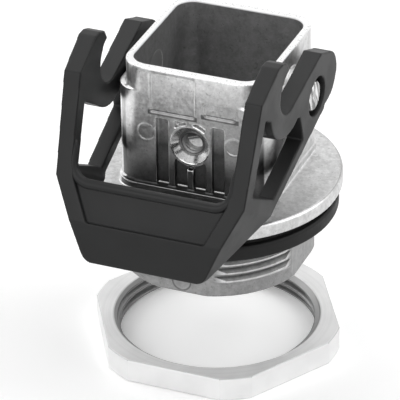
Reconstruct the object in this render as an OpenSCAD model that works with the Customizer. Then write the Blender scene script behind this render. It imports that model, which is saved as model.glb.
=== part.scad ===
// Bulkhead housing of a heavy duty rectangular connector: a die-cast sleeve on a round flange with a
// threaded neck, its panel gasket, the bail latch on two pivot pins, and the lock nut, run off the neck.
// The origin is the middle of the panel seat, under the gasket. X runs side to side, -Y is the front.

/* [Sleeve] */
// Clear width inside the sleeve, side to side
well_w = 22; // [20:0.5:26]
// Clear depth inside the sleeve, front to back
well_d = 23; // [20:0.5:26]
// Wall at the sides
side_wall = 1.1; // [0.8:0.1:2]
// Wall at the front and back
front_wall = 1.4; // [1.2:0.1:2.4]
// Inside radius of the sleeve's corners
well_r = 3; // [2:0.5:4]
// Height of the rim above the flange
sleeve_h = 22; // [20:0.5:28]
// How far the sleeve's middle lies behind the neck's axis
sleeve_back = 2; // [0:0.5:3]
// How far the pivot pads stand out from the sides
pad_proud = 1.1; // [0.8:0.1:2]
// Radius of the round boss that carries a pivot pin
boss_r = 4.2; // [3.6:0.1:4.8]
// Height of the plinth at the foot of the sleeve
plinth_h = 1.2; // [0.6:0.1:2]

/* [Front face] */
// Width of each upright pocket
pocket_w = 2.1; // [1.4:0.1:2.6]
// Spacing of the pockets
pocket_pitch = 3.2; // [2.8:0.1:3.6]
// Depth of the pockets
pocket_deep = 0.8; // [0.4:0.1:1]
// Height of the pockets
pocket_h = 12; // [9:0.5:13]
// Rim to the middle of the threaded hole
hole_drop = 12.7; // [11:0.1:14]
// Diameter of the threaded hole
hole_d = 3.9; // [3:0.1:4.5]
// Diameter of the dish round the hole
dish_d = 6.6; // [5.5:0.1:7.5]
// Depth of the bare marking fields
field_deep = 0.25; // [0.1:0.05:0.4]

/* [Flange and neck] */
// Diameter of the flange
flange_d = 41.4; // [39:0.2:46]
// Thickness of the flange
flange_t = 2.3; // [1.6:0.1:4]
// Outside diameter of the neck's thread
thread_d = 34; // [33:0.5:36]
// Pitch of the thread
thread_pitch = 1.5; // [1:0.5:2]
// Length of the neck below the panel seat
neck_l = 9; // [7:0.5:14]
// Distance across the neck's four flats
neck_af = 30.4; // [29.5:0.1:31.6]
// Diameter of the way through the neck
neck_bore_d = 27; // [22:0.5:28]

/* [Panel gasket] */
// Width of the gasket's ring, from the thread outwards
gasket_w = 3; // [1.6:0.1:4.5]
// Thickness of the gasket
gasket_t = 4.1; // [2.5:0.1:5]
// Height of the gasket's sealing lip
lip_h = 2.6; // [1:0.1:3]

/* [Bail latch] */
// Rim to the pivot axis
pivot_drop = 7; // [6:0.2:9]
// Diameter of the pivot pins
pin_d = 5.6; // [4.4:0.1:6]
// Running clearance of a pin in its arm, all round
pin_gap = 0.06; // [0.03:0.01:0.1]
// Clearance between a pad and the arm beside it
arm_gap = 0.55; // [0.4:0.05:1]
// Thickness of each arm at the pivot
arm_t = 3; // [2.4:0.1:4]
// How far the arms close in towards the handle
arm_draft = 0.9; // [0:0.1:1.5]
// Angle that the open latch swings forward of hanging
open_tilt = 33; // [28:1:38]
// Thickness of the handle plate
handle_t = 3; // [2:0.1:4]
// Depth of the handle's front panel
panel_deep = 0.8; // [0.3:0.1:1.2]
// Radius of the hook slots' ends
hook_r = 3.9; // [3.2:0.1:4.2]
// Width across the handle's lower edge
handle_foot_w = 20; // [14:0.5:26]

/* [Lock nut] */
// Distance across the flats of the nut
nut_af = 38.5; // [38:0.5:44]
// Diameter across its cropped corners
nut_corner_d = 41.8; // [41.6:0.2:48]
// Thickness of the nut
nut_t = 4.1; // [3:0.1:6]
// Turns that the nut stands off from its tightened place
nut_turns_off = 13; // [9:1:16]
// Panel thickness that the tightened nut leaves room for
panel_t = 2; // [1:0.5:3]

/* [Hidden] */
$fn = 72;

// sleeve
flange_top = gasket_t + flange_t;
rim_z = flange_top + sleeve_h;
sleeve_w = well_w + 2 * side_wall;
sleeve_d = well_d + 2 * front_wall;
sleeve_r = well_r + side_wall;
pad_w = sleeve_w + 2 * pad_proud;
face_y = sleeve_back - sleeve_d / 2;
floor_sink = 1.9;          // well floor below the flange's top
well_floor = flange_top - floor_sink;
pad_drop = 4.35;           // top of the pads below the rim
pad_back = 1.4;            // the pads end this far short of the sleeve's back
plinth_side = 0.15;        // plinth beyond the pads
plinth_front = 0.7;        // plinth beyond the front
plinth_back = 0.6;         // and its end short of the sleeve's back
rim_chamfer = 0.3;

// front face, measured from the middle of the face and down from the rim
pocket_drop = 8.7;
pockets = 4;
collar_w = 0.4;            // metal left round the dish
boss_l = 2;                // inner boss that gives the thread its length
notch = [1, 1.2];          // relief in the rib under the dish
square_field = [7.6, 7.1];
square_at = [-2.9, 0.65];
small_field = [5.6, 2.5];
small_at = [5.2, 4.5];
small_r = 0.7;
ejector_d = 3.1;
ejector_at = [7.5, 11.5];
ejector_deep = 0.12;

// neck
thread_root = thread_d / 2 - 0.614 * thread_pitch;
nut_minor = thread_d / 2 - 0.541 * thread_pitch;
spigot_gap = 0.1;
seat_relief = 0.5;         // the spigot ends this far above the panel seat
neck_chamfer = 0.4;
flange_edge = 0.35;

// gasket
waist_in = 1.1;            // black waist inside the lip's edge
lip_edge = 0.3;

// pivot and pins
pivot_y = sleeve_back;
pivot_z = rim_z - pivot_drop;
arm_in = pad_w / 2 + arm_gap;
arm_out = arm_in + arm_t;
bore_r = pin_d / 2 + pin_gap;
sink_r = bore_r + 0.45;    // relief round the pin on the arm's outer face
sink_deep = arm_t / 2;
pin_inset = 0.1;           // a pin's inner end below the well's side
pin_in = well_w / 2 + pin_inset;
pin_short = 0.35;          // a pin's end below the arm's outer face
pin_edge = 0.5;
pin_dimple = 0.35;
press_gap = 0.01;

// latch, looking along the pivot axis while the latch hangs: [back, up] from the pivot
prong = [[-16.6, 2.4], [-18.3, 3.3], [-20.1, 2.9], [-21.6, 2]];
front_bend = [-25.4, -4.3];
crease = [-20.6, -27];
foot = [-17.7, -33.1];
heel = [5.3, -1.3];
lobe_at = [2.6, 3.1];
lobe_r = 4.6;
saddle = [-2.8, 6.7];      // where the back of the hook slot runs into the lobe
slot_end = [-13.9, -0.5];
slot_mouth = -1.1;
slot_front = [-0.96, -0.28];
slot_back = [0.8, -0.6];
eye_w = 4.1;
slot_ring = hook_r + eye_w; // outside of the eye round the slot's end
web_low = -8.4;            // lower edge of the web beside the eye
web_t = 1.2;
front_leg_w = 3;
back_leg_w = 2.1;
window_top = [-6.9, -8.55]; // by the front leg, by the back leg
window_top_mid = [[-3.3, -5.9], [-5.9, -4.1], [-13.9, -6.1]];
window_low = -18.9;
lip_z = -20.9;
lip_r = 3.2;
taper_z = -20.4;
panel_low = -27.6;
panel_margin = 3;
hollow_top = 0.5;          // share of the upper facet where the hollow behind it starts
foot_r = 2.5;
arc_steps = 8;
latch_top = 9;
latch_front = -36;

// nut
nut_top = -panel_t - nut_turns_off * thread_pitch;
nut_lead = 0.35;            // lead-in chamfer beyond the thread
nut_chamfer_r = thread_d / 2 + nut_lead;
nut_chamfer_h = 0.7;
corner_break = 0.4;
cut = 1;                   // overrun of every cutting tool

function along(a, b, t) = a + t * (b - a);
function normal_of(a, b) = let (d = (b - a) / norm(b - a)) [-d[1], d[0]];

module rounded_rect(w, d, r) {
    square([w - 2 * r, d], center = true);
    square([w, d - 2 * r], center = true);
    for (sx = [-1, 1], sy = [-1, 1])
        translate([sx * (w / 2 - r), sy * (d / 2 - r)]) circle(r = r);
}

// a shape drawn as [back, up], carried along X from x0 to x1
module across(x0, x1) {
    translate([x0, 0, 0]) rotate([90, 0, 90]) linear_extrude(x1 - x0) children();
}

// a shape drawn as [right, up], carried from the front, y0, to the back, y1
module through(y0, y1) {
    translate([0, y1, 0]) rotate([90, 0, 0]) linear_extrude(y1 - y0) children();
}

// ---- housing ----

// a rounded block of width w round the sleeve, from y0 to y1, h high on the flange
module round_sleeve(w, y0, y1, h) {
    translate([0, (y0 + y1) / 2, flange_top]) linear_extrude(h) rounded_rect(w, y1 - y0, sleeve_r);
}

module sleeve_body() {
    back_y = face_y + sleeve_d;
    round_sleeve(sleeve_w, face_y, back_y, sleeve_h);
    round_sleeve(pad_w, face_y, back_y - pad_back, sleeve_h - pad_drop);
    round_sleeve(pad_w + 2 * plinth_side, face_y - plinth_front, back_y - plinth_back, plinth_h);
    across(-pad_w / 2, pad_w / 2) translate([pivot_y, pivot_z]) circle(r = boss_r);
}

module flange() {
    rotate_extrude() polygon([
        [0, gasket_t], [flange_d / 2, gasket_t], [flange_d / 2, flange_top - flange_edge],
        [flange_d / 2 - flange_edge, flange_top], [0, flange_top]]);
}

module neck() {
    translate([0, 0, seat_relief]) cylinder(r = thread_d / 2, h = gasket_t - seat_relief + flange_t / 2);
    intersection() {
        translate([0, 0, -neck_l]) rotate_extrude() polygon([
            [0, 0], [thread_root - neck_chamfer, 0], [thread_root, neck_chamfer],
            [thread_root, neck_l + cut], [0, neck_l + cut]]);
        translate([-neck_af / 2, -neck_af / 2, -neck_l - cut]) cube([neck_af, neck_af, neck_l + 3 * cut]);
    }
}

module hole_boss() {
    through(face_y + front_wall / 2, face_y + front_wall + boss_l)
        translate([0, rim_z - hole_drop]) circle(d = dish_d + 2 * collar_w);
}

module threaded_hole() {
    through(face_y - cut, face_y + front_wall + boss_l + cut)
        translate([0, rim_z - hole_drop]) circle(d = hole_d);
    dish_deep = (dish_d - hole_d) / 2;
    translate([0, face_y - cut, rim_z - hole_drop]) rotate([-90, 0, 0])
        cylinder(d1 = dish_d + 2 * cut, d2 = hole_d, h = dish_deep + cut);
}

module pockets_cut() {
    through(face_y - cut, face_y + pocket_deep) difference() {
        union() {
            for (i = [0 : pockets - 1])
                translate([(i - (pockets - 1) / 2) * pocket_pitch - pocket_w / 2,
                           rim_z - pocket_drop - pocket_h])
                    square([pocket_w, pocket_h]);
            translate([-notch[0] / 2, rim_z - hole_drop - dish_d / 2 - notch[1]])
                square([notch[0], notch[1]]);
        }
        translate([0, rim_z - hole_drop]) circle(d = dish_d + 2 * collar_w);
    }
}

module fields_cut() {
    through(face_y - cut, face_y + field_deep) {
        translate([square_at[0], rim_z - square_at[1] - square_field[1] / 2])
            rounded_rect(square_field[0], square_field[1], field_deep);
        translate([small_at[0], rim_z - small_at[1] - small_field[1] / 2])
            rounded_rect(small_field[0], small_field[1], small_r);
    }
    through(face_y - cut, face_y + ejector_deep)
        for (s = [-1, 1])
            translate([s * ejector_at[0], rim_z - ejector_at[1]]) circle(d = ejector_d);
}

module well_cut() {
    translate([0, sleeve_back, well_floor]) linear_extrude(rim_z - well_floor + cut)
        rounded_rect(well_w, well_d, well_r);
    translate([0, 0, -neck_l - cut]) cylinder(d = neck_bore_d, h = neck_l + flange_top + cut);
    translate([0, 0, -neck_l - cut])
        cylinder(d1 = neck_bore_d + 2 * (neck_chamfer + cut), d2 = neck_bore_d, h = neck_chamfer + cut);
}

module housing() {
    color([0.62, 0.63, 0.64]) difference() {
        union() {
            difference() {
                union() {
                    sleeve_body();
                    flange();
                    neck();
                }
                well_cut();
            }
            intersection() {
                hole_boss();
                translate([0, sleeve_back, well_floor]) linear_extrude(sleeve_h)
                    rounded_rect(sleeve_w, sleeve_d, sleeve_r);
            }
        }
        threaded_hole();
        pockets_cut();
        fields_cut();
        across(-pad_w, pad_w) translate([pivot_y, pivot_z]) circle(r = pin_d / 2 + press_gap);
        through(-neck_af / 2 - cut, -neck_af / 2 + ejector_deep)
            translate([0, -neck_l + ejector_d / 2 + neck_chamfer]) circle(d = ejector_d);
    }
}

// ---- panel gasket ----

module panel_gasket() {
    inner = thread_d / 2 + spigot_gap;
    outer = inner + gasket_w;
    color([0.05, 0.05, 0.05]) rotate_extrude() polygon([
        [inner, 0], [outer - lip_edge, 0], [outer, lip_edge], [outer, lip_h - lip_edge],
        [outer - lip_edge, lip_h], [outer - waist_in, lip_h], [outer - waist_in, gasket_t],
        [inner, gasket_t]]);
}

// ---- bail latch ----

// full side view of an arm, before its slot and window
module arm_outline() {
    polygon(concat(prong, [front_bend, crease, foot, heel, lobe_at,
                           [lobe_at[0], lobe_at[1] + lobe_r], saddle]));
    translate(lobe_at) circle(r = lobe_r);
}

// the open hook that takes a peg of the mating hood
module hook_slot() {
    translate(slot_end) circle(r = hook_r);
    polygon([slot_end + hook_r * slot_front, prong[0], [prong[0][0], latch_top], [slot_mouth, latch_top],
             saddle, slot_end + hook_r * slot_back]);
}

// the opening between the two legs of an arm, all of it
module window_area() {
    front_n = normal_of(front_bend, crease) * front_leg_w;
    back_n = normal_of(foot, heel) * back_leg_w;
    front_at = function (z) along(front_bend, crease, (z - front_bend[1]) / (crease[1] - front_bend[1]));
    back_at = function (z) along(foot, heel, (z - foot[1]) / (heel[1] - foot[1]));
    difference() {
        polygon([front_at(window_top[0]) + front_n, front_at(window_low) + front_n,
                 back_at(window_low) + back_n, back_at(window_top[1]) + back_n,
                 window_top_mid[0], window_top_mid[1], window_top_mid[2]]);
        translate(slot_end) circle(r = slot_ring);
    }
}

module web_area() {
    intersection() {
        window_area();
        translate([front_bend[0], web_low]) square([slot_end[0] - front_bend[0], -web_low]);
    }
}

// half widths over the arms' outer and inner faces, which close in towards the handle
function half_out(z) = arm_out + arm_draft * z / -taper_z;
function half_in(z) = arm_in + arm_draft / 2 * z / -taper_z;

// points on an arc of radius r about c, from angle a0 to a1
function arc(c, r, a0, a1) = [for (i = [0 : arc_steps]) c + r * [cos(a0 + (a1 - a0) * i / arc_steps),
                                                                 sin(a0 + (a1 - a0) * i / arc_steps)]];

// front view of the latch: the arms' draft, then the shield's taper to a rounded foot
module shield(inset) {
    x_foot = handle_foot_w / 2 - inset;
    x_bend = half_out(taper_z) - inset;
    corner = atan((x_bend - x_foot) / (taper_z - foot[1]));
    x_round = x_foot - foot_r * tan(45 - corner / 2);
    right = concat([[half_out(latch_top) - inset, latch_top], [x_bend, taper_z]],
                   arc([x_round, foot[1] + foot_r], foot_r, -corner, -90));
    polygon(concat(right, [for (i = [len(right) - 1 : -1 : 0]) [-right[i][0], right[i][1]]]));
}

// what is open between the arms, down to the handle's lip
module arm_space() {
    z_top = latch_top + cut;
    z_round = lip_z + lip_r;
    x_lip = half_in(z_round);
    polygon([[-half_in(z_top), z_top], [-x_lip, z_round], [lip_r - x_lip, z_round], [lip_r - x_lip, lip_z],
             [x_lip - lip_r, lip_z], [x_lip - lip_r, z_round], [x_lip, z_round], [half_in(z_top), z_top]]);
    for (s = [-1, 1]) translate([s * (x_lip - lip_r), z_round]) circle(r = lip_r);
}

// hollow behind the handle plate, open at the back and below, between its side walls
module handle_hollow() {
    n_up = normal_of(front_bend, crease) * handle_t;
    n_low = normal_of(crease, foot) * handle_t;
    intersection() {
        across(-arm_out, arm_out) polygon([
            along(front_bend, crease, hollow_top) + n_up, crease + (n_up + n_low) / 2,
            foot + n_low - [0, foot_r], [heel[0], foot[1] - foot_r], heel]);
        through(latch_front, latch_top) intersection() {
            shield(arm_t);
            translate([-arm_out, foot[1] - cut])
                square([2 * arm_out, lip_z + lip_r - foot[1] + cut]);
        }
    }
}

module panel_cut() {
    n = normal_of(front_bend, crease);
    intersection() {
        across(-arm_out, arm_out) polygon([
            front_bend + n * panel_deep, front_bend - n * cut, crease - n * cut, crease + n * panel_deep]);
        through(latch_front, latch_top) intersection() {
            shield(panel_margin);
            translate([-arm_out, panel_low]) square([2 * arm_out, lip_z + lip_r - panel_low]);
        }
    }
}

module hanging_latch() {
    difference() {
        intersection() {
            across(-arm_out - cut, arm_out + cut) difference() {
                arm_outline();
                hook_slot();
            }
            through(latch_front, 2 * latch_top) shield(0);
        }
        through(latch_front, 2 * latch_top) arm_space();
        across(-arm_out - cut, arm_out + cut) difference() {
            window_area();
            web_area();
        }
        for (s = [-1, 1]) {
            across(s > 0 ? arm_in + web_t : -arm_out - cut, s > 0 ? arm_out + cut : -arm_in - web_t)
                web_area();
            across(s > 0 ? arm_out - sink_deep : -arm_out - cut,
                   s > 0 ? arm_out + cut : -arm_out + sink_deep) circle(r = sink_r);
        }
        across(-arm_out - cut, arm_out + cut) circle(r = bore_r);
        handle_hollow();
        panel_cut();
    }
}

module latch() {
    color([0.13, 0.13, 0.14]) translate([0, pivot_y, pivot_z]) rotate([-open_tilt, 0, 0]) hanging_latch();
}

// ---- pivot pins ----

module pivot_pin(side) {
    length = arm_out - pin_short - pin_in;
    color([0.8, 0.8, 0.8]) translate([side * pin_in, pivot_y, pivot_z]) rotate([0, side * 90, 0])
        rotate_extrude() polygon([
            [0, 0], [pin_d / 2, 0], [pin_d / 2, length - pin_edge], [pin_d / 2 - pin_edge, length],
            [pin_d / 4, length], [0, length - pin_dimple]]);
}

module left_pivot_pin() pivot_pin(-1);

module right_pivot_pin() pivot_pin(1);

// ---- lock nut ----

module lock_nut() {
    color([0.8, 0.81, 0.82]) translate([0, 0, nut_top - nut_t]) difference() {
        intersection() {
            cylinder(r = nut_af / 2 / cos(30), h = nut_t, $fn = 6);
            rotate_extrude() polygon([
                [0, 0], [nut_corner_d / 2 - corner_break, 0], [nut_corner_d / 2, corner_break],
                [nut_corner_d / 2, nut_t - corner_break], [nut_corner_d / 2 - corner_break, nut_t],
                [0, nut_t]]);
        }
        translate([0, 0, -cut]) cylinder(r = nut_minor, h = nut_t + 2 * cut);
        for (top = [0, 1])
            translate([0, 0, top * nut_t]) mirror([0, 0, top])
                cylinder(r1 = nut_chamfer_r, r2 = nut_minor, h = nut_chamfer_h);
    }
}

housing();
panel_gasket();
latch();
left_pivot_pin();
right_pivot_pin();
lock_nut();
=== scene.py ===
import bpy
import bmesh
import math
import numpy as np
from mathutils import Matrix, Vector


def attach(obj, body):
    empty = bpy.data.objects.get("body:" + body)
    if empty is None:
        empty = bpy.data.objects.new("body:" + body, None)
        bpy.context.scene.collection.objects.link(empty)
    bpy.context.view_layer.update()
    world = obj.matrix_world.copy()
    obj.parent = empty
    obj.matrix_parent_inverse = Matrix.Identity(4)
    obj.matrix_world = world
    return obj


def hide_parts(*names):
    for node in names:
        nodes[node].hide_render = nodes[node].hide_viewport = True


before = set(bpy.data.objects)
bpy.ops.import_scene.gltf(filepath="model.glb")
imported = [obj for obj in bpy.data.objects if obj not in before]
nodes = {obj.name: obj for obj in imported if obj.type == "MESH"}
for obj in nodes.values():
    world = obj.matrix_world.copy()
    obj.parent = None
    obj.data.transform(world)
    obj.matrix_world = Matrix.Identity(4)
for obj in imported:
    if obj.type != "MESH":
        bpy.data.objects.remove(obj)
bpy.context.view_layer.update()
mm = 0.001
print("frame loaded:", sorted(nodes))


class Tap:  # a shader socket that can be added, scaled and mixed
    def __init__(self, tree, socket=None):
        self.tree, self.socket = tree, socket

    def make(self, kind, settings=None, sockets=None, out=0):  # any node: its settings, then its sockets
        node = self.tree.nodes.new(kind)
        for name, value in (settings or {}).items():
            setattr(node, name, value)
        for name, value in (sockets or {}).items():
            if isinstance(value, Tap):
                self.tree.links.new(value.socket, node.inputs[name])
            else:
                node.inputs[name].default_value = value
        return Tap(self.tree, node.outputs[out])

    def math(self, operation, *values):
        return self.make("ShaderNodeMath", {"operation": operation}, dict(enumerate(values)))

    def __add__(self, other): return self.math("ADD", self, other)
    def __radd__(self, other): return self.math("ADD", other, self)
    def __sub__(self, other): return self.math("SUBTRACT", self, other)
    def __rsub__(self, other): return self.math("SUBTRACT", other, self)
    def __mul__(self, other): return self.math("MULTIPLY", self, other)
    def __rmul__(self, other): return self.math("MULTIPLY", other, self)

    def size(self): return self.math("ABSOLUTE", self)
    def most(self, other): return self.math("MAXIMUM", self, other)
    def apart(self, other): return self.math("SQRT", self * self + other * other)  # how far from 0, 0

    def ramp(self, low, high, start=0.0, end=1.0):  # low..high smoothly onto start..end, and held beyond
        return self.make("ShaderNodeMapRange", {"interpolation_type": "SMOOTHSTEP"},
                         {0: self, 1: low, 2: high, 3: start, 4: end})

    def fall(self, low, high):  # 1 below low, 0 above high
        return self.ramp(low, high, 1, 0)

    def noise(self, where, size, detail=3.0, rough=0.55, stretch=(1, 1, 1)):  # size is a blob's width
        place = self.make("ShaderNodeMapping", None, {"Vector": where, "Scale": stretch})
        return self.make("ShaderNodeTexNoise", None,
                         {"Vector": place, "Scale": 1 / size, "Detail": detail, "Roughness": rough})

    def edge(self):  # the piece's own mark of outer edges and corners
        return self.make("ShaderNodeAttribute", {"attribute_name": "edge"}, out="Fac")

    def mix(self, first, second):  # colours, by this factor
        return self.make("ShaderNodeMix", {"data_type": "RGBA"}, {0: self, 6: first, 7: second}, 2)

    def bump(self, height, strength, distance):
        return self.make("ShaderNodeBump", None,
                         {"Height": height, "Strength": strength, "Distance": distance * mm})


def finish(name):
    # a new material, its shader, a tap on its tree, and the object's coordinates, in metres as one
    # vector for the noises and split up in millimetres for the masks
    material = bpy.data.materials.new(name)
    material.use_nodes = True
    tree = material.node_tree
    shader = tree.nodes["Principled BSDF"]
    tap = Tap(tree)
    where = tap.make("ShaderNodeTexCoord", out="Object")
    split = tap.make("ShaderNodeSeparateXYZ", None, {0: where})
    parts = [Tap(tree, split.socket.node.outputs[i]) * (1 / mm) for i in range(3)]
    return material, shader, tap, where, parts


def feed(shader, values):
    for name, value in values.items():
        if isinstance(value, Tap):
            value.tree.links.new(value.socket, shader.inputs[name])
        else:
            shader.inputs[name].default_value = value


def grey(level, blue=0.0):
    return (level, level * (1 + blue * 0.5), level * (1 + blue), 1)


wholeEdgeSlope = 0.25  # the slope at a point, over its neighbours, that counts as a whole edge


def markEdges(mesh):
    # each point's height over the middle of its neighbours, along its normal, as a share of the
    # slope that counts as a whole edge: more than 0 on an outer edge, less than 0 in a corner, and
    # 0 on a flat; the materials read it for edge wear with painted highlight, for darker lines along
    # edges and for painted shade in corners
    count = len(mesh.vertices)
    points, normals = np.empty(count * 3), np.empty(count * 3)
    mesh.vertices.foreach_get("co", points)
    mesh.vertex_normals.foreach_get("vector", normals)
    points, normals = points.reshape(-1, 3), normals.reshape(-1, 3)
    ends = np.empty(len(mesh.edges) * 2, dtype=np.int64)
    mesh.edges.foreach_get("vertices", ends)
    first, second = ends.reshape(-1, 2).T
    step = points[second] - points[first]
    length = np.maximum(np.linalg.norm(step, axis=1), 1e-9)
    lean = np.bincount(first, np.einsum("ij,ij->i", step, normals[first]) / length, count)
    lean -= np.bincount(second, np.einsum("ij,ij->i", step, normals[second]) / length, count)
    meets = np.bincount(first, minlength=count) + np.bincount(second, minlength=count)
    values = -lean / np.maximum(meets, 1) / wholeEdgeSlope
    layer = mesh.attributes.new("edge", "FLOAT", "POINT")
    layer.data.foreach_set("value", values)


def settle(piece, scale=1.0):
    # the piece's modifiers, and flat shading on its flats, worked out once and kept as its mesh
    weight = piece.modifiers.new("weight", "WEIGHTED_NORMAL")
    weight.keep_sharp = False
    graph = bpy.context.evaluated_depsgraph_get()
    made = bpy.data.meshes.new_from_object(piece.evaluated_get(graph), depsgraph=graph)
    piece.modifiers.clear()
    made.transform(Matrix.Scale(scale, 4))
    made.name = piece.name
    markEdges(made)
    piece.data = made


def softened(node, name, body, voxel, passes, keep):
    # a copy of a solid's mesh, made again as an even net of voxel millimetres whose edges are
    # rounded by averaging each point with its neighbours, passes times over, then thinned on its
    # flats to keep of its faces
    mesh = nodes[node].data.copy()
    work = bmesh.new()
    work.from_mesh(mesh)
    bmesh.ops.remove_doubles(work, verts=work.verts, dist=1e-6)
    bmesh.ops.scale(work, verts=work.verts, vec=(1 / mm, 1 / mm, 1 / mm))
    work.to_mesh(mesh)
    work.free()
    piece = bpy.data.objects.new(name, mesh)
    bpy.context.scene.collection.objects.link(piece)
    net = piece.modifiers.new("net", "REMESH")
    net.mode, net.voxel_size, net.use_smooth_shade = "VOXEL", voxel, True
    rounding = piece.modifiers.new("rounding", "SMOOTH")
    rounding.factor, rounding.iterations = 0.5, passes
    thin = piece.modifiers.new("thin", "DECIMATE")
    thin.ratio = keep
    settle(piece, mm)
    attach(piece, body)
    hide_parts(node)
    return piece


def dress(piece, material):
    piece.data.materials.clear()
    piece.data.materials.append(material)


def sheet(name, grid, body, material, closeU=False, caps=False):
    # a mesh from a grid of points, one row after another, each row closed on itself, and its faces
    # turned outwards by the grid's order; closeU joins the last row to the first, and caps close
    # both with a face each
    rows, columns = grid.shape[:2]
    index = np.arange(rows * columns).reshape(rows, columns)
    first = np.r_[np.arange(rows), 0] if closeU else np.arange(rows)
    index = index[np.ix_(first, np.r_[np.arange(columns), 0])]
    faces = np.stack([index[:-1, :-1], index[:-1, 1:], index[1:, 1:], index[1:, :-1]], -1)
    faces = faces.reshape(-1, 4).tolist()
    if caps:
        faces += [index[0, :columns][::-1].tolist(), index[rows - 1, :columns].tolist()]
    mesh = bpy.data.meshes.new(name)
    mesh.from_pydata(grid.reshape(-1, 3), [], faces)
    mesh.shade_smooth()
    piece = bpy.data.objects.new(name, mesh)
    bpy.context.scene.collection.objects.link(piece)
    settle(piece)
    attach(piece, body)
    dress(piece, material)
    return piece


cast = {"net": (0.15, 1, 0.2),  # voxel, rounding passes and share of faces kept
        # tones: the raw metal's palest and darkest, milled faces, and the share left of them at
        # each darker place, most of them painted shade: the well, the neck, the front low down, the
        # sides and back, one front corner, and the flange's side and edge
        "light": 0.98, "dark": 0.64, "milled": 0.93, "inside": 0.36, "neck": 0.32, "parting": 0.7,
        "frontShade": 0.1, "turned": 0.66, "flange": 0.72, "sides": 0.78, "corner": 0.45, "brim": 0.6,
        "shelf": 0.26, "ring": 0.45,
        # how much of the painted front shade the pockets get, and how much the edges are brightened,
        # as wear and painted highlight, with more low on the front
        "pocket": 0.36, "rubbedAndLit": (0.5, 0.35),
        # widths of the noises' blobs in millimetres, the roughness over the grain, and how far it
        # shades as metal
        "cloud": 2.4, "mottle": 1.0, "grain": 0.42, "spots": 0.55,
        "rough": (0.3, 0.42), "metallic": 0.9,
        # places, in millimetres: heights are over the panel's seat, and the front is along Y
        "rim": 28.4, "front": -10.9, "well": (11.35, 11.85), "wellMiddle": 2.0, "wellFloor": 4.0,
        "flangeLow": 3.8, "flangeTop": 6.5, "flangeEdge": 20.9, "crest": 16.3, "neckFlat": -14.0,
        "frontShadeLow": 10.0, "frontShadeHigh": 21.5, "ledge": 7.7, "dish": 3.45, "dishAt": 15.7,
        "cornerFrom": 11.0, "cornerTop": (16.0, 21.0),
        "shelves": ((-2.9, 20.65, 4.1), (5.2, 21.4, 3.1)),  # middle, height and half of the width
        "mark": (0.0, -7.05, 1.55)}  # middle, height and radius


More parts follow.
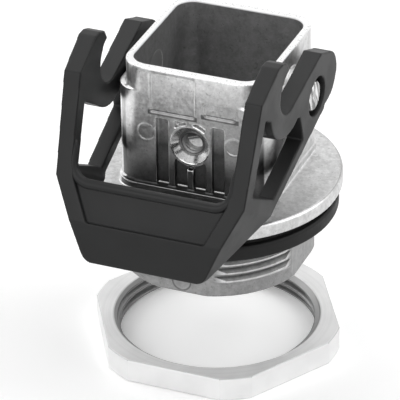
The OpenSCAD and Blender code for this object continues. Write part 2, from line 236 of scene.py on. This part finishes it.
def castMetal():
    # raw metal: a weighted sum of three sizes of cloud, less dark specks and with pale ones; its
    # tone is multiplied down by a mask for each darker place: painted shade in the well, on the
    # neck, on the front's lower part and in its pockets, on the sides and back, at one front corner,
    # on the flange's side and as a line along the flange's edge; the neck's parting line, the turned
    # dish, the ledges and the ejector mark are darker too; outer edges are brightened as wear and
    # painted highlight, corners darkened as painted shade, and the rim and the pockets' feet milled
    c = cast
    material, shader, tap, where, (x, y, z) = finish("die cast zinc")
    cloud = tap.noise(where, c["cloud"] * mm, 4, 0.6)
    mottle = tap.noise(where, c["mottle"] * mm, 4, 0.65, (1, 1, 0.8))
    grain = tap.noise(where, c["grain"] * mm, 2, 0.6)
    spots = tap.noise(where, c["spots"] * mm, 2, 0.5)
    tone = cloud.ramp(0.36, 0.64) * 0.3 + mottle.ramp(0.36, 0.64) * 0.4
    tone = tone + grain.ramp(0.34, 0.66) * 0.3
    edge = tap.edge()

    behind = y - c["front"]
    above = z - c["flangeTop"]
    reach = x.apart(y)
    beyond = reach - c["flangeEdge"]
    across = x.size() * (1 / c["well"][0])
    along = (y - c["wellMiddle"]).size() * (1 / c["well"][1])
    # painted shade inside the well, above its floor
    inside = across.most(along).fall(1.0, 1.01) * (z - c["wellFloor"]).ramp(0, 0.2)
    # painted shade over the neck under the flange, half as deep on the thread's crests
    neck = z.fall(-0.3, 0.4) * (1 - (reach - c["crest"]).ramp(-0.2, 0.5) * 0.5)
    front = behind.fall(1.2, 1.5) * above.ramp(0, 0.1)
    pocket = behind.ramp(0.5, 0.7) * front
    low = z.fall(c["frontShadeLow"], c["frontShadeHigh"])
    dish = (x.apart(z - c["dishAt"]) - c["dish"]).fall(-0.15, 0) * front
    # painted shade on the front's lower part, with a share of it in the pockets, kept off the dish
    frontShade = tap.math("MINIMUM", low * front + pocket * c["pocket"], 1.0) * (1 - dish)
    # painted shade low on the right side by the front corner
    corner = (x - c["cornerFrom"]).ramp(0, 1) * behind.fall(3.5, 6) * above.ramp(0.1, 0.3)
    # painted shade on the flange's side, between its foot and its top
    flange = above.fall(-0.05, 0.1) * (z - c["flangeLow"]).ramp(0, 0.2)
    # a painted shadow line: a thin darker ring along the flange's top edge
    brim = beyond.ramp(-0.62, -0.5) * beyond.fall(-0.4, -0.28) * above.ramp(-0.3, -0.15)
    middle, height, radius = c["mark"]
    ring = ((x - middle).apart(z - height) - radius).size().fall(0.05, 0.2)
    # painted shade in the well, on the neck, low on the front, on the sides and back, at one front
    # corner and on the flange; the parting line, dish, ledges and ejector ring are darker marks
    darker = [(inside, "inside"),
              (neck, "neck"),
              (neck * y.size().fall(0.06, 0.14), "parting"),
              (frontShade, "frontShade"),
              (dish, "turned"),
              # painted shade on the sides, back and top behind the front
              (behind.ramp(1.5, 4.5) * above.ramp(0.1, 0.2), "sides"),
              (corner * z.fall(*c["cornerTop"]), "corner"),
              (flange, "flange"),
              (brim, "brim"),
              (ring * (y - c["neckFlat"]).fall(0, 0.1), "ring")]
    for middle, height, half in c["shelves"]:
        band = (z - height).size().fall(0.3, 0.5) * ((x - middle).size() - half).fall(0, 0.2)
        darker.append((band * front, "shelf"))
    shade = 1 - spots.ramp(0.64, 0.72) * 0.25 + spots.fall(0.28, 0.36) * 0.14
    for mask, place in darker:
        shade = shade * (1 - mask * (1 - c[place]))

    raw = (tone * (c["light"] - c["dark"]) + c["dark"]) * shade
    # outer edges brightened: partly wear, partly painted highlight, more so low on the front
    rubbedAndLit = edge.ramp(0.2, 1.0) * (low * front * c["rubbedAndLit"][1] + c["rubbedAndLit"][0])
    # concave corners darkened by up to 0.4: painted shade
    edgeToned = raw * (1 - edge.ramp(-1.2, -0.2, 0.4, 0)) * (1 - rubbedAndLit) + rubbedAndLit * c["light"]
    rim = (z - c["rim"]).ramp(-0.3, -0.18)
    milled = rim.most((z - c["ledge"]).fall(0.12, 0.2) * pocket)
    level = edgeToned * (1 - milled) + milled * c["milled"]
    rough = grain.ramp(0.3, 0.7, *c["rough"])
    relief = (cloud * 0.3 + mottle * 0.5 + grain * 0.2) * (1 - rim) * (1 - dish)
    feed(shader, {"Base Color": level.mix(grey(0), grey(1.0)),
                  "Metallic": c["metallic"] - milled * 0.5 - inside * 0.3,
                  "Roughness": rough + inside * 0.12 - milled * 0.05 - dish * 0.17,
                  "Normal": tap.bump(relief, 0.3, 0.1)})
    return material


castFinish = castMetal()
dress(softened("housing", "castHousing", "housing", *cast["net"]), castFinish)
print("housing made")


saw = {"flat": 0.22, "flank": 0.56}  # shares of half a pitch: a flat crest or root, and its flank


def threadRadius(angle, height, crest, root, pitch):
    # a sixty degree thread with flat crests and roots: radius is a clipped saw of height over pitch
    # less the turn
    turn = (height / pitch - angle / (2 * np.pi)) % 1.0
    rise = 1 - np.abs(turn - 0.5) * 2
    return root + (crest - root) * np.clip((rise - saw["flat"]) / saw["flank"], 0, 1)


thread = {"crest": 17.0, "root": 16.08, "pitch": 1.5, "flat": 15.2, "low": -6.6, "high": 0.3,
          "sunk": 0.06, "fade": 0.5, "wall": 1.2, "turns": 720, "rows": 116}


def neckThread():
    # ridges over the neck's root, cut off where they meet the four flats: the lesser of the
    # thread's radius and the flat's distance over the cosine of the angle from its middle; where
    # there is no ridge the piece lies sunk under the casting's face
    t = thread
    angles = np.linspace(0, 2 * np.pi, t["turns"] + 1)[:-1]
    a, h = np.meshgrid(angles, np.linspace(t["low"], t["high"], t["rows"]), indexing="ij")
    fromFlat = (a + np.pi / 4) % (np.pi / 2) - np.pi / 4
    bare = t["root"] - t["sunk"]
    fade = np.clip((h - t["low"]) / t["fade"], 0, 1)
    radius = bare + (threadRadius(a, h, t["crest"], bare, t["pitch"]) - bare) * fade
    radius = np.minimum(radius, (t["flat"] - t["sunk"]) / np.cos(fromFlat))
    outer = np.stack([radius * np.cos(a), radius * np.sin(a), h], -1)
    inner = outer[:, [-1, 0]].copy()
    inner[..., :2] *= ((t["root"] - t["wall"]) / np.linalg.norm(inner[..., :2], axis=-1))[..., None]
    grid = np.concatenate([outer, inner], 1) * mm
    sheet("neckThread", grid, "housing", castFinish, closeU=True)


neckThread()
print("neck thread made")


tapped = {"crest": 1.64, "root": 1.93, "outer": 2.0, "pitch": 0.7, "front": -9.6, "back": -7.52,
          "middle": 15.7, "turns": 72, "rows": 40}


def holeThread():
    # a thin threaded ring in the front hole: the same saw with crest and root changed over, about
    # an axis along -Y
    t = tapped
    angles = np.linspace(0, 2 * np.pi, t["turns"] + 1)[:-1]
    heights = np.linspace(-t["front"], -t["back"], t["rows"])
    a, h = np.meshgrid(angles, heights, indexing="ij")
    back = (t["turns"], 2)  # the ring's back is plain
    ridges = threadRadius(a, h, t["crest"], t["root"], t["pitch"])
    radius = np.concatenate([ridges, np.full(back, t["outer"])], 1)
    height = np.concatenate([h, np.broadcast_to(heights[[-1, 0]], back)], 1)
    turned = angles[:, None]
    grid = np.stack([radius * np.cos(turned), -height, t["middle"] + radius * np.sin(turned)], -1)
    sheet("holeThread", grid * mm, "housing", castFinish, closeU=True)


holeThread()
print("hole thread made")


# black: painted shade above the lip's top height, under the flange
gasket = {"net": (0.15, 2, 0.4), "lip": 2.6, "black": 0.004, "grey": 0.012, "shine": 0.2,
          "rough": (0.5, 0.62)}


def rubber():
    # black above the lip's top height as painted shade under the flange, over a dull grey band, with a
    # soft bloom and a fine grain
    material, shader, tap, where, parts = finish("gasket rubber")
    upper = (parts[2] - gasket["lip"]).ramp(-0.1, 0.02)
    bloom = tap.noise(where, 2.5 * mm, 4, 0.6).ramp(0.3, 0.7)
    fine = tap.noise(where, 0.25 * mm, 3, 0.6)
    satin = bloom.mix(grey(gasket["grey"] * 0.85), grey(gasket["grey"] * 1.15))
    feed(shader, {"Base Color": upper.mix(satin, grey(gasket["black"])),
                  "Roughness": bloom.ramp(0, 1, *gasket["rough"]), "Specular IOR Level": gasket["shine"],
                  "Normal": tap.bump(fine, 0.15, 0.04)})
    return material


dress(softened("panel_gasket", "sealRing", "housing", *gasket["net"]), rubber())
print("gasket made")


latch = {"net": (0.16, 6, 0.4), "colour": 0.0134, "blue": 0.03, "edge": 0.003, "shine": 0.23,
         "rough": (0.42, 0.5)}


def moulding():
    # charcoal with a slow cloud and a fine grain, and a thin darker line along outer edges
    material, shader, tap, where, parts = finish("charcoal moulding")
    cloud = tap.noise(where, 6 * mm, 3, 0.5).ramp(0.3, 0.7)
    fine = tap.noise(where, 0.3 * mm, 2, 0.6)
    line = tap.edge().ramp(0.15, 0.6)
    colour, blue = latch["colour"], latch["blue"]
    plain = cloud.mix(grey(colour * 0.9, blue), grey(colour * 1.1, blue))
    feed(shader, {"Base Color": line.mix(plain, grey(latch["edge"], blue)),
                  "Roughness": cloud.ramp(0, 1, *latch["rough"]), "Specular IOR Level": latch["shine"],
                  "Normal": tap.bump(fine, 0.15, 0.04)})
    return material


moulded = moulding()
dress(softened("latch", "bailLatch", "latch", *latch["net"]), moulded)


lip = {"pivot": (2.0, 21.4), "tilt": 33, "bend": (-25.4, -4.3), "crease": (-20.6, -27.0), "top": -20.9,
       "corner": 3.2, "half": 13.55, "back": 0.86, "radius": 0.82, "up": 3.4, "out": -0.002,
       "taper": 0.999, "cornerRows": 25, "flatRows": 61, "legRows": 12, "around": 24}


def lipGrid():
    # a round bead carried along the handle's top edge, round both corners and up the legs, where it
    # sinks away: its radius falls with the height over the corner, and its path lies behind the
    # line from the bend to the crease
    turn = np.radians(np.linspace(90, 0, lip["cornerRows"]))
    straight, over = lip["half"] - lip["corner"], lip["top"] + lip["corner"]
    corner = np.stack([straight + lip["corner"] * np.cos(turn), over - lip["corner"] * np.sin(turn)], 1)
    flat = np.linspace(-straight, straight, lip["flatRows"])[1:-1]
    flat = np.stack([flat, np.full(len(flat), lip["top"])], 1)
    leg = over + np.linspace(0, lip["up"], lip["legRows"] + 1)[1:]
    right = np.concatenate([corner, np.stack([np.full(len(leg), lip["half"]), leg], 1)])
    path = np.concatenate([right[::-1] * (-1, 1), flat, right])
    (b0, u0), (b1, u1) = lip["bend"], lip["crease"]
    back = b0 + (b1 - b0) * (path[:, 1] - u0) / (u1 - u0) + lip["back"]
    sunk = np.clip((path[:, 1] - over) / lip["up"], 0, 1)
    radius = lip["radius"] * np.sqrt(1 - sunk ** 2 * lip["taper"])
    step = np.gradient(path, axis=0)
    side = np.stack([-step[:, 1], step[:, 0]], 1) / np.linalg.norm(step, axis=1)[:, None]
    centre = path + side * lip["out"]
    a = np.linspace(0, 2 * np.pi, lip["around"] + 1)[:-1]
    x = centre[:, :1] + radius[:, None] * np.cos(a) * side[:, :1]
    u = centre[:, 1:] + radius[:, None] * np.cos(a) * side[:, 1:]
    b = back[:, None] + radius[:, None] * np.sin(a)
    c, s = math.cos(math.radians(lip["tilt"])), math.sin(math.radians(lip["tilt"]))
    return np.stack([x, lip["pivot"][0] + c * b + s * u, lip["pivot"][1] - s * b + c * u], -1) * mm


sheet("lipBead", lipGrid(), "latch", moulded, caps=True)
print("latch made")


# bright and dark: tones of the painted reflection streaks on the pin's outer end
pin = {"net": (0.07, 2, 0.6), "bright": 0.8, "dark": 0.08, "plain": 0.4, "lean": 0.35, "reflectionStreak": 0.8,
       "inner": 12.0, "rough": 0.5}


def polished():
    # painted reflection: slanted bright and dark streaks across the pin's turned end, one noise
    # along a leaning line; its end in the well is plain
    material, shader, tap, where, (x, y, z) = finish("polished pin steel")
    line = tap.make("ShaderNodeCombineXYZ", None, {0: y + z * pin["lean"], 1: x * 0.2, 2: z * 0.05})
    # painted reflection streaks
    reflectionStreak = tap.noise(line, pin["reflectionStreak"], 2, 0.5).ramp(0.46, 0.66)
    outer = (x.size() - pin["inner"]).ramp(0, 0.5)
    level = (reflectionStreak * (pin["bright"] - pin["dark"]) + pin["dark"]) * outer + (1 - outer) * pin["plain"]
    feed(shader, {"Base Color": level.mix(grey(0), grey(1.0)), "Metallic": 1.0,
                  "Roughness": pin["rough"] - outer * 0.3,
                  "Normal": tap.bump(reflectionStreak * outer, 0.5, 0.08)})
    return material


pinSteel = polished()
for side in ("left", "right"):
    dress(softened(side + "_pivot_pin", side + "Pin", "housing", *pin["net"]), pinSteel)
print("pins made")


nut = {"top": -21.5, "thick": 4.1, "flat": 19.25, "corner": 20.9, "turn": 30, "crest": 17.11,
       "minor": 16.19, "lead": 17.35, "pitch": 1.5, "chamfer": 0.7, "edge": 0.16, "hold": 0.1,
       "step": 0.5, "fine": 0.15, "rows": 42,
       # bore: the share of tone left in the cut thread, painted shade
       "plate": (0.87, 0.94), "rough": (0.4, 0.5), "bore": 0.3, "metallic": 0.34}


def nickel():
    # satin plate with a soft cloud and a top lathed in fine rings, toned darker than the sides as
    # painted shade; painted shade in the cut thread, deepest in its roots
    material, shader, tap, where, (x, y, z) = finish("bright nickel plate")
    cloud = tap.noise(where, 6 * mm, 3, 0.5)
    reach = x.apart(y)
    bore = reach.fall(17.1, 17.3)
    top = (z - nut["top"]).ramp(-0.12, -0.06)
    outwards = tap.make("ShaderNodeCombineXYZ", None, {0: reach, 1: z})
    lathe = tap.noise(outwards, 0.35, 2, 0.5).ramp(0.3, 0.7)
    # painted shade in concave corners, such as the thread's roots
    cornerShade = tap.edge().ramp(-1.0, -0.2, 0.5, 0)
    level = cloud.ramp(0.3, 0.7, *nut["plate"]) * (1 - bore * (1 - nut["bore"])) * (1 - cornerShade)
    # the top toned darker than the sides, painted shade, varied by fine lathe rings
    level = level * (1 - top * (0.09 + lathe * 0.05))
    feed(shader, {"Base Color": level.mix(grey(0), grey(1.0)), "Metallic": nut["metallic"] + bore * 0.5,
                  "Roughness": cloud.ramp(0.3, 0.7, *nut["rough"]),
                  "Normal": tap.bump(cloud, 0.2, 0.1)})
    return material


def nutGrid():
    # a closed ring of profiles, one for each angle: down the threaded bore, out under the foot, up
    # the side and in over the top; the side's radius is the flat's distance over the cosine, and no
    # more than the cropped corner
    n = nut
    corner = math.degrees(math.acos(n["flat"] / n["corner"]))
    near = corner + n["fine"] * np.arange(3)
    angles = np.unique(np.r_[np.arange(0, 60, n["step"]), 30 - near, 30 + near] % 60)
    angles = np.radians(np.concatenate([angles + 60 * k for k in range(6)]))
    low, high = n["top"] - n["thick"], n["top"]
    fromFlat = (angles - np.radians(n["turn"]) + np.pi / 6) % (np.pi / 3) - np.pi / 6
    side = np.minimum(n["flat"] / np.cos(fromFlat), n["corner"])
    a, h = np.meshgrid(angles, np.linspace(high, low, n["rows"]), indexing="ij")
    lead = n["lead"] - np.minimum(high - h, h - low) * (n["lead"] - n["minor"]) / n["chamfer"]
    inner = np.maximum(threadRadius(a, h, n["crest"], n["minor"], n["pitch"]), lead)
    e = n["edge"]
    hold, curve = n["hold"], e * 0.3
    steps = np.array([[-e - hold, 0], [-e, 0], [-curve, curve], [0, e], [0, e + hold]])
    outer = side[:, None] + np.r_[steps[:, 0], steps[::-1, 0]]
    rise = np.broadcast_to(np.r_[low + steps[:, 1], high - steps[::-1, 1]], outer.shape)
    ring = np.full((len(angles), 1), n["lead"] + n["hold"])
    radius = np.concatenate([inner, ring, outer, ring], 1)
    height = np.concatenate([h, ring * 0 + low, rise, ring * 0 + high], 1)
    a = angles[:, None]
    return np.stack([radius * np.cos(a), radius * np.sin(a), height], -1) * mm


hexNut = sheet("hexNut", nutGrid(), "lock_nut", nickel(), closeU=True)
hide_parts("lock_nut")
print("nut made")


stage = {"floor": -25.6, "size": 1.6, "paint": 0.98, "glow": 0.18, "room": 0.24}
lamps = {"overhead": (180, 74, 0.8, 0.7, 0.7, 2.0),  # azimuth, elevation, distance, width, height, watts
         "leftBack": (-105, 38, 0.8, 0.6, 0.6, 2.1), "rightBack": (105, 38, 0.8, 0.6, 0.6, 2.6),
         "frontFill": (-10, 26, 0.9, 0.8, 0.6, 3.2)}


def seenRays(tap):  # 1 for what the camera, a gloss or a glass shows, 0 for light
    seen = tap.make("ShaderNodeLightPath", out="Is Camera Ray")
    outputs = seen.socket.node.outputs
    glossy, through = (Tap(tap.tree, outputs[name]) for name in ("Is Glossy Ray", "Is Transmission Ray"))
    return seen.most(glossy).most(through)


def floorPaint():
    material = bpy.data.materials.new("pale floor")
    material.use_nodes = True
    tree = material.node_tree
    tap = Tap(tree)
    tree.nodes.remove(tree.nodes["Principled BSDF"])
    paint = tap.make("ShaderNodeBsdfDiffuse", None, {"Color": grey(stage["paint"])})
    glow = seenRays(tap) * stage["glow"]
    lit = tap.make("ShaderNodeEmission", None, {"Color": grey(1.0), "Strength": glow})
    both = tap.make("ShaderNodeAddShader", None, {0: paint, 1: lit})
    tree.links.new(both.socket, tree.nodes["Material Output"].inputs["Surface"])
    return material


def makeFloor():
    half = stage["size"] / 2
    low = stage["floor"] * mm
    corners = [(-half, -half, low), (half, -half, low), (half, half, low), (-half, half, low)]
    mesh = bpy.data.meshes.new("floor")
    mesh.from_pydata(corners, [], [(0, 1, 2, 3)])
    mesh.materials.append(floorPaint())
    floor = bpy.data.objects.new("floor", mesh)
    bpy.context.scene.collection.objects.link(floor)


camera = {"azimuth": 22.40, "elevation": 30.28, "roll": -0.78, "distance": 578.6, "lens": 318.66,
          "sensor": 36, "clip": (0.01, 10), "slide": (-2.63, -0.25), "aim": (0, 0, 0.2)}


def lookVectors(azimuth, elevation):  # right, up and back for a camera at these angles
    a, e = math.radians(azimuth), math.radians(elevation)
    back = Vector((math.sin(a) * math.cos(e), -math.cos(a) * math.cos(e), math.sin(e)))
    right = Vector((math.cos(a), math.sin(a), 0))
    return right, back.cross(right), back


def putAt(data, right, up, back, where):  # a new object for data, looking against back, at where
    item = bpy.data.objects.new(data.name, data)
    bpy.context.scene.collection.objects.link(item)
    matrix = Matrix((right, up, back)).transposed().to_4x4()
    matrix.translation = where
    item.matrix_world = matrix
    return item


def makeCamera():
    c = camera
    right, up, back = lookVectors(c["azimuth"], c["elevation"])
    r = math.radians(c["roll"])
    rolledRight = right * math.cos(r) + up * math.sin(r)
    rolledUp = up * math.cos(r) - right * math.sin(r)
    aim = Vector(c["aim"]) + right * c["slide"][0] + up * c["slide"][1]
    data = bpy.data.cameras.new("camera")
    data.lens, data.sensor_width = c["lens"], c["sensor"]
    data.clip_start, data.clip_end = c["clip"]
    where = (aim + back * c["distance"]) * mm
    bpy.context.scene.camera = putAt(data, rolledRight, rolledUp, back, where)


def softbox(name, azimuth, elevation, distance, width, height, power):
    right, up, back = lookVectors(azimuth, elevation)
    data = bpy.data.lights.new(name, "AREA")
    data.shape, data.size, data.size_y, data.energy = "RECTANGLE", width, height, power
    putAt(data, right, up, back, back * distance)


def makeWorld():
    world = bpy.data.worlds.new("studio")
    world.use_nodes = True
    bpy.context.scene.world = world
    tree = world.node_tree
    background = tree.nodes["Background"]
    background.inputs["Color"].default_value = grey(1.0)
    strength = stage["room"] + seenRays(Tap(tree)) * (1 - stage["room"])
    tree.links.new(strength.socket, background.inputs["Strength"])


makeFloor()
makeCamera()
for name, box in lamps.items():
    softbox(name, *box)
makeWorld()
bpy.context.scene.view_settings.view_transform = "Standard"
print("stage, camera and light made")
